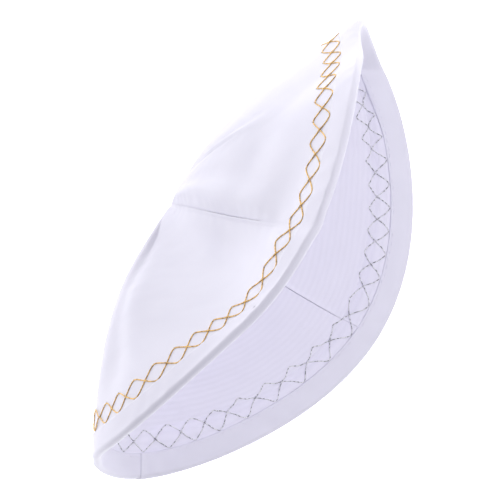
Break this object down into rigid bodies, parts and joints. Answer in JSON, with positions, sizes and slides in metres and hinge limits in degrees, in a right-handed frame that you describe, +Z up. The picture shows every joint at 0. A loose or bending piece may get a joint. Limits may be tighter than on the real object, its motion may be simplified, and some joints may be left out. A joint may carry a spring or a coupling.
{
  "type": "kippah",
  "caption": "Satin kippah with a woven lining and a bound edge, softly folded and lying on one wall with its mouth open, worn over the crown of the head.",
  "frame": {"origin": "on the surface that the cap lies on, under the middle of its bounding box", "axes": "+Z up, +X along the fold from one corner to the other, the crown's point toward +Y and the mouth open toward -Y"},
  "size_m": [0.1752, 0.092, 0.1037],
  "materials": {
    "satin": "glossy white satin",
    "lining": "matt white woven lining with fine ribs",
    "binding": "smooth white tape",
    "gold_thread": "gold metallic embroidery thread",
    "silver_thread": "silver metallic embroidery thread"
  },
  "bodies": {
    "root": {"crown_panel_low_corner_standing": "satin", "crown_panel_high_corner_standing": "satin", "crown_panel_high_corner_lying": "satin", "crown_panel_low_corner_lying": "satin", "lining_panel_low_corner_standing": "lining", "lining_panel_high_corner_standing": "lining", "lining_panel_high_corner_lying": "lining", "lining_panel_low_corner_lying": "lining", "edge_binding": "binding"}
  },
  "joints": []
}
